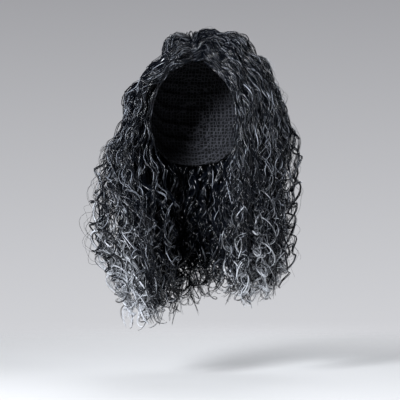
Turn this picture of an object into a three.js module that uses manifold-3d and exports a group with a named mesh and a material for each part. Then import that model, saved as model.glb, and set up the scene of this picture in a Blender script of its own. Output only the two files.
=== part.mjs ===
// A curly shoulder-length wig: a hollow net cap, and six sections of curly hair fixed round the outside of it.
// Millimetres, +Z up. The wearer faces -Y, and +X is to their left. The origin is the inside top of the cap.
// A bearing is a direction in plan, in degrees: 0 is the front, 90 the left, 180 the back and 270 the right.
// A drop is a depth below the origin.

import * as THREE from 'three';
import { mergeVertices } from 'three/addons/utils/BufferGeometryUtils.js';
import Module from 'manifold-3d';

const wasm = await Module();
wasm.setup();

// The cap: the upper part of an ellipsoid, down to a shaped edge
const CAP_HALF_WIDTH = 77;
const CAP_HALF_DEPTH = 97;
const CAP_RISE = 103;
const CAP_WALL = 2;
const CAP_HEM_EXTRA = 1;
const CAP_RINGS = 7;
const CAP_SIDES = 32;

// The edge of the cap on one side, mirrored to the other: brow, temple, ear tab, over the ear and nape
const CAP_EDGE = [
  { bearing: 0, drop: 29 },
  { bearing: 30, drop: 31 },
  { bearing: 55, drop: 45 },
  { bearing: 68, drop: 66 },
  { bearing: 76, drop: 98 },
  { bearing: 84, drop: 130 },
  { bearing: 95, drop: 112 },
  { bearing: 115, drop: 137 },
  { bearing: 145, drop: 166 },
  { bearing: 180, drop: 172 },
];

// The hair keeps this far from the cap and from the next section
const FIT_GAP = 0.4;
const SECTION_GAP = 0.5;
const CLEARANCE_DEPTH = 14;

// The space for the head and neck, as half widths and depths at each drop
const HOLLOW = [
  { drop: 40, side: 53, front: 69, back: 69 },
  { drop: 100, side: 70, front: 90, back: 90 },
  { drop: 140, side: 66, front: 86, back: 84 },
  { drop: 180, side: 56, front: 76, back: 68 },
  { drop: 220, side: 46, front: 60, back: 54 },
  { drop: 300, side: 45, front: 58, back: 52 },
  { drop: 430, side: 50, front: 62, back: 56 },
];
const HOLLOW_TOP = 10;

// The outer form of the hair, as the reach from the axis to each side at each drop of the wearer's right side
const OUTER = [
  { drop: -13, right: 28, left: 40, front: 30, back: 34 },
  { drop: 11, right: 53, left: 70, front: 72, back: 76 },
  { drop: 31, right: 62, left: 87, front: 90, back: 96 },
  { drop: 60, right: 96, left: 107, front: 99, back: 112 },
  { drop: 95, right: 106, left: 121, front: 105, back: 124 },
  { drop: 130, right: 111, left: 132, front: 107, back: 130 },
  { drop: 160, right: 135, left: 137, front: 108, back: 133 },
  { drop: 200, right: 150, left: 138, front: 107, back: 136 },
  { drop: 274, right: 161, left: 137, front: 102, back: 138 },
  { drop: 310, right: 137, left: 138, front: 96, back: 131 },
  { drop: 356, right: 121, left: 133, front: 85, back: 114 },
];
// The bulk lies this far inside the outer form, and the middle of a lock on it this share as far
const BULK_INSET = [
  { drop: 36, fringe: 3, rest: 2 },
  { drop: 60, fringe: 6, rest: 6 },
  { drop: 125, fringe: 8, rest: 14 },
  { drop: 190, fringe: 11, rest: 28 },
  { drop: 356, fringe: 15, rest: 28 },
];
const LOCK_INSET_SHARE = 0.6;
const FRINGE_BEARING = 38;
const FRINGE_SPREAD = { none: 0.6, full: 0.9 };
const CROWN = new THREE.Vector3(4, -4, 17);
const MASS_SIDES = 24;

// Below this drop the wearer's left side is shorter than the right
const LEVEL_DROP = 150;
const HEM_RIGHT = 356;
const HEM_LEFT = 318;

// The parting, on the wearer's right of the crown, and the whorl that the hair leaves from behind it
const PARTING_FRONT = new THREE.Vector2(-24, -64);
const WHORL = new THREE.Vector2(-16, 10);

// The face opening: the bearings of its two sides at each drop, from the brow down
const FACE = [
  { drop: 38, right: -32, left: -4 },
  { drop: 46, right: -46, left: 6 },
  { drop: 58, right: -55, left: 11 },
  { drop: 98, right: -66, left: 16 },
  { drop: 150, right: -65, left: 16 },
  { drop: 200, right: -58, left: 15 },
  { drop: 250, right: -48, left: 17 },
  { drop: 300, right: -47, left: 22 },
  { drop: 352, right: -51, left: 33 },
  { drop: 430, right: -51, left: 33 },
];
const FACE_TOP = new THREE.Vector3(-25, -80, -30);
const FACE_REACH = 220;
const FACE_SIDES = 12;

// The sections of hair, each a wedge of bearings round the whorl
const SECTIONS = [
  { name: 'fringe_locks', from: -6, to: 62 },
  { name: 'left_side_locks', from: 62, to: 118 },
  { name: 'back_left_locks', from: 118, to: 162 },
  { name: 'back_locks', from: 162, to: 206 },
  { name: 'back_right_locks', from: 206, to: 250 },
  { name: 'right_side_locks', from: 250, to: 354 },
];

// The long locks that lie on the outside, from the parting to the ends
const LONG_LOCKS = [
  { section: 'fringe_locks', from: 24, to: 56, count: 3 },
  { section: 'left_side_locks', from: 69, to: 111, count: 4 },
  { section: 'back_left_locks', from: 125, to: 156, count: 3 },
  { section: 'back_locks', from: 168, to: 200, count: 3 },
  { section: 'back_right_locks', from: 212, to: 244, count: 3 },
  { section: 'right_side_locks', from: 255, to: 291, count: 4 },
];
const LOCK = { halfWidth: 13, halfThick: 12, sides: 5, steps: 14, wave: 112 };
const LOCK_TIP = 34;
const ROOT_SHIFT = { front: 12, back: 34 };
const ROOT_TURN = { front: 20, back: 110 };
const CROWN_DROP = 60;
const CROWN_STEPS = 3;
const CROWN_HALVINGS = 12;

// The locks along the two edges of the face opening: turned this far back from the edge, and at this share of the
// way out from the hollow
const EDGE_LOCKS = [
  { section: 'right_side_locks', side: 'right', turn: -4, depth: 0.15, tip: 384 },
  { section: 'right_side_locks', side: 'right', turn: -5, depth: 0.45, tip: 390 },
  { section: 'right_side_locks', side: 'right', turn: -6, depth: 0.76, tip: 380 },
  { section: 'fringe_locks', side: 'left', turn: 5, depth: 0.3, tip: 344 },
  { section: 'fringe_locks', side: 'left', turn: 6, depth: 0.75, tip: 338 },
];
const EDGE = { halfWidth: 11, halfThick: 10, sides: 5, steps: 10, wave: 112 };
const EDGE_TOP = 64;

// The short curls that hang out below the mass, part of the way in from the outside
const SHORT_CURLS = [
  { section: 'fringe_locks', from: 38, to: 52, count: 2 },
  { section: 'left_side_locks', from: 76, to: 106, count: 2 },
  { section: 'back_left_locks', from: 130, to: 152, count: 2 },
  { section: 'back_locks', from: 174, to: 196, count: 2 },
  { section: 'back_right_locks', from: 218, to: 240, count: 2 },
  { section: 'right_side_locks', from: 262, to: 298, count: 3 },
];
const CURL = { halfWidth: 12, halfThick: 11, sides: 5, steps: 5, wave: 60 };
const CURL_TOP = 30;
const CURL_TIP = 22;
const CURL_DEPTH = 0.5;

// Every lock waves sideways and outwards, out of step with the next, in full from WAVE_FULL of its length
const WAVE_SIDEWAYS = 8;
const WAVE_OUTWARD = 4;
const WAVE_FULL = 0.6;
const GOLDEN_TURN = 2.4;

// A lock is full between two parts of its length, and thinner at its root and tip
const TAPER = { root: 0.15, fullFrom: 0.3, fullTo: 0.7, tip: 0.3 };
const SECTION_LEAN = 40;

const MERGE_DISTANCE = 1e-3;

const CAP_COLOUR = 0x16171b;
const HAIR_COLOUR = 0x24262b;

const rad = THREE.MathUtils.degToRad;
const lerp = THREE.MathUtils.lerp;
const smooth = THREE.MathUtils.smoothstep;

// The direction of a bearing in plan
function heading(bearing) {
  return new THREE.Vector2(Math.sin(rad(bearing)), -Math.cos(rad(bearing)));
}

// The value of a column between the rows of a table, eased so that the rows join smoothly
function along(table, key, at, column) {
  const last = table.length - 1;
  const next = table.findIndex((row) => row[key] >= at);
  if (next === 0 || next === -1) return table[next === 0 ? 0 : last][column];
  const points = [next - 2, next - 1, next, next + 1].map((i) => table[Math.min(Math.max(i, 0), last)]);
  const [before, a, b, after] = points;
  const span = b[key] - a[key];
  const t = (at - a[key]) / span;
  const slopeA = ((b[column] - before[column]) / Math.max(b[key] - before[key], 1)) * span;
  const slopeB = ((after[column] - a[column]) / Math.max(after[key] - a[key], 1)) * span;
  const left = (1 - t) * (1 - t) * ((1 + 2 * t) * a[column] + t * slopeA);
  const right = t * t * ((3 - 2 * t) * b[column] - (1 - t) * slopeB);
  return left + right;
}

// The reach at a bearing of an oval with its own reach to the front, back, right and left
function ovalReach(bearing, front, back, right, left) {
  const { x, y } = heading(bearing);
  const across = x > 0 ? left : right;
  const forward = y < 0 ? front : back;
  return 1 / Math.hypot(x / across, y / forward);
}

// The drop of the hem, and the real drop at a bearing of a row that is given for the wearer's right
function hemDrop(bearing) {
  return lerp(HEM_RIGHT, HEM_LEFT, (1 + heading(bearing).x) / 2);
}

function realDrop(drop, bearing) {
  if (drop <= LEVEL_DROP) return drop;
  return LEVEL_DROP + ((drop - LEVEL_DROP) * (hemDrop(bearing) - LEVEL_DROP)) / (HEM_RIGHT - LEVEL_DROP);
}

// The outer reach of the hair, and the reach of the hollow inside it
function outerReach(bearing, drop) {
  const at = (column) => along(OUTER, 'drop', drop, column);
  return ovalReach(bearing, at('front'), at('back'), at('right'), at('left'));
}

function hollowReach(bearing, drop) {
  const at = (column) => along(HOLLOW, 'drop', drop, column);
  return ovalReach(bearing, at('front'), at('back'), at('side'), at('side'));
}

// A closed body of rings: place(bearing, ring) gives a point, and the first and last rings are single points
function ringBody(rings, sides, place) {
  const onAxis = (ring) => ring === 0 || ring === rings;
  const profilePoint = (_, ring) => new THREE.Vector2(onAxis(ring) ? 0 : 1, -ring);
  const geometry = new THREE.LatheGeometry(Array.from({ length: rings + 1 }, profilePoint), sides);
  const position = geometry.attributes.position;
  for (let i = 0; i < position.count; i += 1) {
    const bearing = THREE.MathUtils.radToDeg(Math.atan2(position.getX(i), position.getZ(i)));
    const point = place(bearing, Math.round(-position.getY(i)));
    position.setXYZ(i, point.x, point.y, point.z);
  }
  return solidOf(geometry);
}

// A solid for joining and cutting, with shared points merged and its faces turned outwards
function solidOf(geometry) {
  geometry.deleteAttribute('normal');
  geometry.deleteAttribute('uv');
  const merged = mergeVertices(geometry, MERGE_DISTANCE);
  const points = merged.attributes.position;
  const corner = (i) => new THREE.Vector3().fromBufferAttribute(points, i);
  const triangles = [];
  let volume = 0;
  for (let i = 0; i < merged.index.count; i += 3) {
    const [a, b, c] = [0, 1, 2].map((k) => merged.index.getX(i + k));
    if (a === b || b === c || c === a) continue;
    triangles.push([a, b, c]);
    volume += corner(a).dot(corner(b).cross(corner(c)));
  }
  const turned = volume < 0 ? triangles.map(([a, b, c]) => [a, c, b]) : triangles;
  const mesh = new wasm.Mesh({
    numProp: 3,
    vertProperties: new Float32Array(points.array),
    triVerts: new Uint32Array(turned.flat()),
  });
  return new wasm.Manifold(mesh);
}

function meshOf(solid, name, material) {
  const { vertProperties, triVerts } = solid.getMesh();
  const geometry = new THREE.BufferGeometry();
  geometry.setAttribute('position', new THREE.BufferAttribute(new Float32Array(vertProperties), 3));
  geometry.setIndex(new THREE.BufferAttribute(new Uint32Array(triVerts), 1));
  geometry.computeVertexNormals();
  const mesh = new THREE.Mesh(geometry, material);
  mesh.name = name;
  return mesh;
}

// A shell on the cap's own grid, between two offsets from the inside of the cap and a little past its edge
function capShell(innerOffset, outerOffset, pastEdge) {
  const lastRing = 2 * CAP_RINGS + 1;
  return ringBody(lastRing, CAP_SIDES, (bearing, ring) => {
    const isOuter = ring <= CAP_RINGS;
    const down = (isOuter ? ring : lastRing - ring) / CAP_RINGS;
    const drop = along(CAP_EDGE, 'bearing', Math.abs(bearing), 'drop') + pastEdge;
    const polar = Math.acos(1 - drop / CAP_RISE) * down;
    const hem = isOuter && down === 1 ? CAP_HEM_EXTRA : 0;
    const offset = (isOuter ? outerOffset : innerOffset) + hem;
    const { x, y } = heading(bearing);
    return new THREE.Vector3(
      (CAP_HALF_WIDTH + offset) * Math.sin(polar) * x,
      (CAP_HALF_DEPTH + offset) * Math.sin(polar) * y,
      (CAP_RISE + offset) * Math.cos(polar) - CAP_RISE,
    );
  });
}

// The space for the head and neck
function headHollow() {
  const bottom = HOLLOW.length + 1;
  const lowest = HOLLOW[HOLLOW.length - 1].drop;
  return ringBody(bottom, CAP_SIDES, (bearing, ring) => {
    if (ring === 0) return new THREE.Vector3(0, 0, -HOLLOW_TOP);
    if (ring === bottom) return new THREE.Vector3(0, 0, -lowest);
    const { drop } = HOLLOW[ring - 1];
    const plan = heading(bearing).multiplyScalar(hollowReach(bearing, drop));
    return new THREE.Vector3(plan.x, plan.y, -drop);
  });
}

// How far inside the outer form the bulk lies, which is less in the fringe
function bulkInset(bearing, drop) {
  const nearFringe = heading(bearing).dot(heading(FRINGE_BEARING));
  const fringe = smooth(nearFringe, FRINGE_SPREAD.none, FRINGE_SPREAD.full);
  return lerp(along(BULK_INSET, 'drop', drop, 'rest'), along(BULK_INSET, 'drop', drop, 'fringe'), fringe);
}

// The bulk of the hair, inside its outer form
function hairMass() {
  const bottom = OUTER.length + 1;
  return ringBody(bottom, MASS_SIDES, (bearing, ring) => {
    if (ring === 0) return CROWN;
    if (ring === bottom) return new THREE.Vector3(0, 0, -(HEM_RIGHT + HEM_LEFT) / 2);
    const { drop } = OUTER[ring - 1];
    const reach = outerReach(bearing, drop) - bulkInset(bearing, drop);
    const plan = heading(bearing).multiplyScalar(reach);
    return new THREE.Vector3(plan.x, plan.y, -realDrop(drop, bearing));
  });
}

// The opening for the face: at each drop a wedge of bearings, from the axis out past the hair
function faceOpening() {
  const bottom = FACE.length + 1;
  return ringBody(bottom, FACE_SIDES, (bearing, ring) => {
    if (ring === 0) return FACE_TOP;
    const { drop, right, left } = FACE[Math.min(ring, FACE.length) - 1];
    const side = THREE.MathUtils.euclideanModulo(Math.round((bearing / 360) * FACE_SIDES), FACE_SIDES);
    if (ring === bottom || side === 0) return new THREE.Vector3(0, 0, -drop);
    const plan = heading(lerp(right, left, (side - 1) / (FACE_SIDES - 2))).multiplyScalar(FACE_REACH);
    return new THREE.Vector3(plan.x, plan.y, -drop);
  });
}

// The wedge of bearings round the whorl that holds one section
function sectionWedge({ from, to }) {
  const reach = 500;
  const top = 100;
  const depth = 700;
  const pitch = 15;
  const apexShift = SECTION_GAP / 2 / Math.sin(rad((to - from) / 2));
  const apex = WHORL.clone().add(heading((from + to) / 2).multiplyScalar(apexShift));
  const steps = Math.ceil((to - from) / pitch);
  const rim = Array.from({ length: steps + 1 }, (_, i) => {
    return heading(lerp(from, to, i / steps)).multiplyScalar(reach).add(apex);
  });
  const geometry = new THREE.ExtrudeGeometry(new THREE.Shape([apex, ...rim]), { depth, bevelEnabled: false });
  geometry.translate(0, 0, top - depth);
  return solidOf(geometry);
}

// A tapering lock with a flattened section, bent along a curve and waved
function lockBody(curve, size, phase) {
  const geometry = new THREE.CylinderGeometry(1, 1, 1, size.sides, size.steps);
  const position = geometry.attributes.position;
  const length = curve.getLength();
  const waved = (u) => {
    const point = curve.getPointAt(u);
    const out = new THREE.Vector3(point.x, point.y, 0).normalize();
    const sideways = new THREE.Vector3(-out.y, out.x, 0);
    const turn = phase + (2 * Math.PI * length * u) / size.wave;
    const growth = smooth(u, 0, WAVE_FULL);
    point.addScaledVector(sideways, WAVE_SIDEWAYS * growth * Math.sin(turn));
    return point.addScaledVector(out, WAVE_OUTWARD * growth * Math.cos(turn));
  };
  for (let i = 0; i < position.count; i += 1) {
    const u = position.getY(i) + 0.5;
    const centre = waved(u);
    const step = 0.01;
    const forward = waved(Math.min(u + step, 1)).sub(waved(Math.max(u - step, 0))).normalize();
    const out = new THREE.Vector3(centre.x, centre.y, SECTION_LEAN).normalize();
    const side = new THREE.Vector3().crossVectors(forward, out).normalize();
    const up = new THREE.Vector3().crossVectors(side, forward);
    const rootTaper = lerp(TAPER.root, 1, smooth(u, 0, TAPER.fullFrom));
    const taper = rootTaper * lerp(1, TAPER.tip, smooth(u, TAPER.fullTo, 1));
    centre.addScaledVector(side, position.getX(i) * size.halfWidth * taper);
    centre.addScaledVector(up, position.getZ(i) * size.halfThick * taper);
    position.setXYZ(i, centre.x, centre.y, centre.z);
  }
  return solidOf(geometry);
}

// The middle of a lock that lies on the bulk
function lockPoint(bearing, drop) {
  const reach = outerReach(bearing, drop) - bulkInset(bearing, drop) * LOCK_INSET_SHARE;
  const plan = heading(bearing).multiplyScalar(reach);
  return new THREE.Vector3(plan.x, plan.y, -realDrop(drop, bearing));
}

// The middle of a lock on the crown, over a point in plan
function crownPoint(plan) {
  const bearing = THREE.MathUtils.radToDeg(Math.atan2(plan.x, -plan.y));
  let [above, below] = [OUTER[0].drop, CROWN_DROP];
  for (let i = 0; i < CROWN_HALVINGS; i += 1) {
    const drop = (above + below) / 2;
    const { x, y } = lockPoint(bearing, drop);
    if (Math.hypot(x, y) < plan.length()) above = drop;
    else below = drop;
  }
  return new THREE.Vector3(plan.x, plan.y, -above);
}

// Where a lock leaves the parting, in plan: at its front for locks in front, at the whorl for locks at the back
function rootOf(bearing) {
  const fromFront = THREE.MathUtils.radToDeg(Math.acos(-heading(bearing).y));
  const towardsBack = smooth(fromFront, ROOT_TURN.front, ROOT_TURN.back);
  const shift = lerp(ROOT_SHIFT.front, ROOT_SHIFT.back, towardsBack);
  return PARTING_FRONT.clone().lerp(WHORL, towardsBack).add(heading(bearing).multiplyScalar(shift));
}

// The curve of a long lock: from the parting over the crown, and down the outside of the hair
function longLockCurve(bearing) {
  const root = rootOf(bearing);
  const { x, y } = lockPoint(bearing, CROWN_DROP);
  const overCrown = Array.from({ length: CROWN_STEPS }, (_, i) => {
    return crownPoint(root.clone().lerp(new THREE.Vector2(x, y), i / CROWN_STEPS));
  });
  const drops = OUTER.map((row) => row.drop).filter((drop) => drop >= CROWN_DROP);
  const points = [...overCrown, ...drops.map((drop) => lockPoint(bearing, drop))];
  const end = points[points.length - 1].clone();
  end.z -= LOCK_TIP;
  return new THREE.CatmullRomCurve3([...points, end]);
}

// The curve of an edge lock: down one side of the face opening
function edgeLockCurve({ side, turn, depth, tip }) {
  const drops = [...FACE.map((row) => row.drop).filter((drop) => drop >= EDGE_TOP && drop < tip), tip];
  const points = drops.map((drop) => {
    const bearing = along(FACE, 'drop', drop, side) + turn;
    const reach = lerp(hollowReach(bearing, drop), outerReach(bearing, drop), depth);
    const plan = heading(bearing).multiplyScalar(reach);
    return new THREE.Vector3(plan.x, plan.y, -drop);
  });
  return new THREE.CatmullRomCurve3(points);
}

// The curve of a short curl: straight down out of the underside of the hair
function shortCurlCurve(bearing) {
  const inner = hollowReach(bearing, HEM_RIGHT);
  const outer = outerReach(bearing, HEM_RIGHT);
  const plan = heading(bearing).multiplyScalar(lerp(inner, outer, CURL_DEPTH));
  const hem = hemDrop(bearing);
  const drops = [hem - CURL_TOP, hem, hem + CURL_TIP];
  return new THREE.CatmullRomCurve3(drops.map((drop) => new THREE.Vector3(plan.x, plan.y, -drop)));
}

// The locks of one section from a row of its table, spread evenly over its bearings
function fanOfLocks(table, section, size, curveAt) {
  const { from, to, count } = table.find((row) => row.section === section);
  return Array.from({ length: count }, (_, i) => {
    const bearing = lerp(from, to, i / (count - 1));
    return lockBody(curveAt(bearing), size, bearing * GOLDEN_TURN);
  });
}

// All the locks of one section
function locksOf(section) {
  const edges = EDGE_LOCKS.filter((row) => row.section === section);
  return [
    ...fanOfLocks(LONG_LOCKS, section, LOCK, longLockCurve),
    ...edges.map((row) => lockBody(edgeLockCurve(row), EDGE, row.tip * GOLDEN_TURN)),
    ...fanOfLocks(SHORT_CURLS, section, CURL, shortCurlCurve),
  ];
}

// The largest body of a solid, without slivers that a cut left
function mainBody(solid) {
  return solid.decompose().sort((a, b) => b.volume() - a.volume())[0];
}

function build() {
  const wig = new THREE.Group();
  const capFinish = new THREE.MeshStandardMaterial({ color: CAP_COLOUR, roughness: 0.9, metalness: 0 });
  const hairFinish = new THREE.MeshStandardMaterial({ color: HAIR_COLOUR, roughness: 0.5, metalness: 0 });
  wig.add(meshOf(capShell(0, CAP_WALL, 0), 'wig_cap', capFinish));

  const room = capShell(-CLEARANCE_DEPTH, CAP_WALL + FIT_GAP, 2 * FIT_GAP).add(headHollow());
  const mass = hairMass().subtract(faceOpening());
  for (const section of SECTIONS) {
    const hair = locksOf(section.name).reduce((joined, lock) => joined.add(lock), mass);
    const cut = hair.intersect(sectionWedge(section)).subtract(room);
    wig.add(meshOf(mainBody(cut), section.name, hairFinish));
  }
  return wig;
}

export default build();
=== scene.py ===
"""Curly wig: black hair with silver ends, in six sections on a hollow net cap.

The strands are worked out in millimetres, from where each lock is rooted on the cap, the form that the
hair hangs in, and the waves that run down it, and become meshes in metres.
"""

import math

import bpy
import numpy as np
from bpy.props import FloatProperty, FloatVectorProperty, PointerProperty
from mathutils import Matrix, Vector


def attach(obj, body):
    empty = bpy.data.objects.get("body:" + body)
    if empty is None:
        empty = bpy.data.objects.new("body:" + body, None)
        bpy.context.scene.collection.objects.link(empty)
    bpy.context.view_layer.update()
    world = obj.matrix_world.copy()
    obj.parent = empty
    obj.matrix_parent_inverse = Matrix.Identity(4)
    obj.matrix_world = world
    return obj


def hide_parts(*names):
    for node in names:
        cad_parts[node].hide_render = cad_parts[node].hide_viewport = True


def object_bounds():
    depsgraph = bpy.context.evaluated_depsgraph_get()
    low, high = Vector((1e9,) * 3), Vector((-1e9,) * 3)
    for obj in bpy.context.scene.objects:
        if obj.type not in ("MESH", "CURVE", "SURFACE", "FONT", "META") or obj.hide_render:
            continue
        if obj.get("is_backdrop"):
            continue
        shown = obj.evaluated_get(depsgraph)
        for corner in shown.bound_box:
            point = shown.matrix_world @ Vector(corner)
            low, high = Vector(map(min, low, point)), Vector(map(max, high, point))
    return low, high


bl_info = {
    "name": "Curly Wig",
    "version": (1, 0, 0),
    "blender": (4, 5, 0),
    "location": "3D View > Sidebar > Wig",
    "description": "Builds a curly wig of wavy locks on a net cap",
    "category": "Add Mesh",
}

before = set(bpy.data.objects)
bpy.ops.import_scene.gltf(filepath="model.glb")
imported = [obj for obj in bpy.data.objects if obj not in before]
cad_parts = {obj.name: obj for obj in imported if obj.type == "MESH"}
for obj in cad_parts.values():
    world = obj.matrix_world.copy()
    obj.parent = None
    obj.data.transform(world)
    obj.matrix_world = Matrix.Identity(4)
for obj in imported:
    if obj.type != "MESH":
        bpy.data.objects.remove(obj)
CAD_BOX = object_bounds()

MM = 0.001
FULL_TURN = 2 * math.pi


def linear(hex_colour):
    """An sRGB hex colour as linear red, green, blue."""
    parts = [int(hex_colour[i : i + 2], 16) / 255 for i in (1, 3, 5)]
    return [p / 12.92 if p <= 0.04045 else ((p + 0.055) / 1.055) ** 2.4 for p in parts]


def table(columns, *rows):
    """Rows of numbers as arrays by column name."""
    return dict(zip(columns.split(), np.array(rows, float).T))


# Bearings go round from the front (0) by the wearer's left (90). Drops go down from the top of the cap.

# The cap is part of a hollow ellipsoid. The top of its inside is the origin.
CAP_WALL = 2.0
CAP_RISE = 103.0
CAP_INSIDE = np.array([77.0, 97.0, CAP_RISE])
CAP_OUTSIDE = CAP_INSIDE + CAP_WALL
CAP_CENTRE = np.array([0.0, 0.0, -CAP_RISE])
CAP_EDGE = table(
    "bearing drop",
    (0, 29),
    (30, 31),
    (55, 45),
    (68, 66),
    (76, 98),
    (84, 130),
    (95, 112),
    (115, 137),
    (145, 166),
    (180, 172),
)
# Faces round the cap and down it, from one sewn row to the next, and in the hem
CAP_SEGMENTS = 96
CAP_RINGS = 44
WEFT_EVERY = 4
HEM_RINGS = 3

# Half widths of the outside of the hair. Drops past the level one are those of the longer right side, and
# other bearings squeeze them to their own length.
OUTER = table(
    "drop right left front back",
    (-18, 4, 14, 8, 8),
    (-13, 33, 42, 30, 34),
    (-4, 45, 58, 48, 52),
    (11, 53, 70, 72, 76),
    (31, 57, 87, 90, 96),
    (46, 74, 103, 95, 105),
    (70, 102, 108, 101, 116),
    (95, 106, 121, 105, 124),
    (130, 109, 138, 107, 130),
    (150, 137, 142, 108, 132),
    (200, 157, 142, 107, 134),
    (274, 166, 138, 102, 135),
    (300, 154, 138, 98, 132),
    (320, 136, 138, 94, 128),
    (352, 120, 134, 86, 116),
    (398, 116, 112, 76, 98),
)
LEVEL_DROP = 150.0
HEM_RIGHT = 356.0
HEM_LEFT = 318.0

# Half widths of the hollow inside the hair, below the middle of the cap
HOLLOW = table(
    "drop side front back",
    (103, 79, 99, 99),
    (140, 70, 90, 86),
    (180, 58, 78, 70),
    (220, 48, 62, 56),
    (300, 46, 58, 54),
    (430, 50, 60, 56),
)

# Bearings of the two front edges of the hair
FRONT_EDGES = table(
    "drop left right",
    (-18, -15, 345),
    (32, -10, 343),
    (36, 0, 326),
    (40, 5, 315),
    (46, 8, 306),
    (52, 10, 302),
    (58, 11, 299),
    (70, 14, 295),
    (98, 17, 291),
    (150, 17, 293),
    (200, 17, 300),
    (240, 18, 312),
    (300, 24, 312),
    (352, 36, 308),
    (400, 36, 308),
)

# The parting runs from its front end back to the whorl
PARTING_FRONT = np.array([-24.0, -64.0])
WHORL = np.array([-16.0, 10.0])
# Where the roots lie along the parting, for a lock's share of the way round from the left front edge
ROOT_LINE = table("share along", (0, 0.0), (0.16, 0.45), (0.34, 1.0), (0.70, 1.0), (0.88, 0.5), (1, 0.0))
# How far the roots lie from the parting, towards the bearing that their lock has at the comb drop
ROOT_AWAY = (-5, 9)
COMB_DROP = 60.0

# The line of a lock has points a step apart. A lock from the parting joins its layer this far from its root,
# and one from lower on the cap rises to its layer over this drop.
PATH_STEP = 3.0
FEWEST_STEPS = 8
JOINS_AFTER = 10.0
RISES_OVER = 70.0

# Down a lock: the length of its waves, how far they stand to the side, outwards and back along the lock,
# and how far apart its curls, and the strands of a curl, lie
WAVES = table(
    "part length side out loop apart close",
    (0.0, 46, 0.8, 0.6, 0.0, 3.2, 1.3),
    (0.10, 42, 2.2, 1.5, 0.3, 4.6, 1.7),
    (0.35, 47, 4.2, 3.2, 1.2, 5.2, 1.6),
    (0.55, 45, 5.8, 4.0, 2.6, 5.2, 1.6),
    (0.68, 38, 7.0, 4.2, 5.0, 4.2, 1.3),
    (0.80, 31, 7.8, 5.0, 7.4, 3.4, 1.2),
    (1.0, 27, 7.4, 5.0, 7.4, 3.0, 1.1),
)
# How much the locks, their curls and single strands differ, as shares of the usual value
LOCK_LENGTH = (0.86, 1.18)
LOCK_HEIGHT = (0.78, 1.2)
CURL_HEIGHT = (0.82, 1.18)
STRAND_HEIGHT = (0.95, 1.05)
CURL_TURN = (0.97, 1.03)
CURL_END = (0.92, 1.0)
STRAND_END = (0.98, 1.0)
# The parts of the way down a lock over which it leaves its root, its swells fade, its waves reach their
# full height, its curls split, and its tips flick aside
LEAVING = (0, 0.05)
FADING = (0.16, 0.42)
FILLING = (0.3, 0.6)
SPLITTING = (0.45, 0.75)
FLICKING = (0.75, 1.05)
# How far curls are out of step and out of line with each other, in radians, before and after they split,
# and how far the strands of a curl are out of step
CURL_STEP = (0.3, 0.8)
CURL_LEAN = (0.2, 0.7)
STRAND_STEP = 0.12
# How far the outward waves run ahead of the sideways ones, or behind them, in radians
WAVE_LAG = 1.2
# How much curls and strands twist round each other, against the waves' turn, and how they fill a bundle
BUNDLE_TWIST = 0.22
BUNDLE_FILL = (0.1, 1)
# Frizz down a lock, how many times more a lone strand has, and the share that strands have beside their curl
FRIZZ = table("part share", (0.0, 0.2), (0.2, 0.7), (1.0, 1.2))
LONE_FRIZZ = 3.2
STRAND_FRIZZ = 0.3
# Frizz is a slow and a quick wave: how fast each goes, against the lock's waves, and the quick one's share
SLOW_FRIZZ = (0.25, 0.75)
QUICK_FRIZZ = (1.2, 1.8)
QUICK_SHARE = 0.5
# How far the tips flick aside and outwards
FLICK_SIDE = 7
FLICK_OUT = 5
# Points lie closer on steep waves. This is what a straight strand has, against a slope in radians, and how
# much closer they lie for each millimetre of loop.
STRAIGHT_POINTS = 0.471
LOOP_POINTS = 0.06
# Thickness of a strand along it, and how much strands differ
TAPER = table("along share", (0.0, 0.75), (0.1, 1.0), (0.85, 1.05), (1.0, 0.45))
WIDTH_SPREAD = 0.22
# Soft swells that go round the crown: from crest to crest, height, where the first crest lies, and how soon
# they start
SWELL_LENGTH = 52.0
SWELL_HEIGHT = 4.8
SWELL_START = 24.0
SWELL_RISE = 12.0

# Kinds of lock: the curls of a lock, the strands of a curl, points along a strand and sides round it, and
# how many locks hang together as a tress. Layers go from the cap (0) to the outside of the hair (1). Then
# come how far down the roots are, the width of strands against the usual one, how far down the table of
# waves a lock reaches, and how far down its tips are, where they don't go by the hem. Locks from the parting
# start at the top of the hair.
AT_PARTING = (-18, -18)
LOCKS = {
    "top": dict(
        curls=3, strands=3, points=42, sides=3, tress=2,
        layer=(0.78, 1.0), rooted=AT_PARTING, width=0.8, reach=0.45, tips=(90, 190),
    ),
    "outer": dict(
        curls=2, strands=3, points=104, sides=3, tress=2,
        layer=(0.62, 1.0), rooted=AT_PARTING, width=0.9, reach=1,
    ),
    "middle": dict(
        curls=2, strands=3, points=92, sides=3, tress=2,
        layer=(0.36, 0.8), rooted=(16, 66), width=0.9, reach=1,
    ),
    "inner": dict(
        curls=3, strands=2, points=58, sides=3, tress=2,
        layer=(0.04, 0.34), rooted=(70, 150), width=1.3, reach=1,
    ),
    "edge": dict(
        curls=2, strands=3, points=80, sides=3, tress=2,
        layer=(0.08, 0.92), rooted=(22, 90), width=0.8, reach=1,
    ),
    # Core locks stand for hair deep inside, plain black as painted shade
    "core": dict(
        curls=1, strands=1, points=34, sides=5, tress=1,
        layer=(0.28, 0.56), rooted=(16, 80), width=6.5, reach=1,
    ),
    "loose": dict(
        curls=1, strands=6, points=90, sides=3, tress=1,
        layer=(0.86, 1.0), rooted=AT_PARTING, width=1.0, reach=1,
    ),
    "fine": dict(
        curls=1, strands=1, points=76, sides=3, tress=1,
        layer=(0.82, 1.02), rooted=AT_PARTING, width=0.45, reach=0.6,
    ),
    "wisp": dict(
        curls=1, strands=1, points=26, sides=3, tress=1,
        layer=(1.02, 1.14), rooted=AT_PARTING, width=0.4, reach=0.4, tips=(25, 120),
    ),
}
# Edge locks keep within this share of a front edge, and the core, whose thick tubes are plain black as
# painted shade inside the hair, keeps off it and ends higher
EDGE_SHARE = 0.05
CORE_SHORT = 50.0
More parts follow.
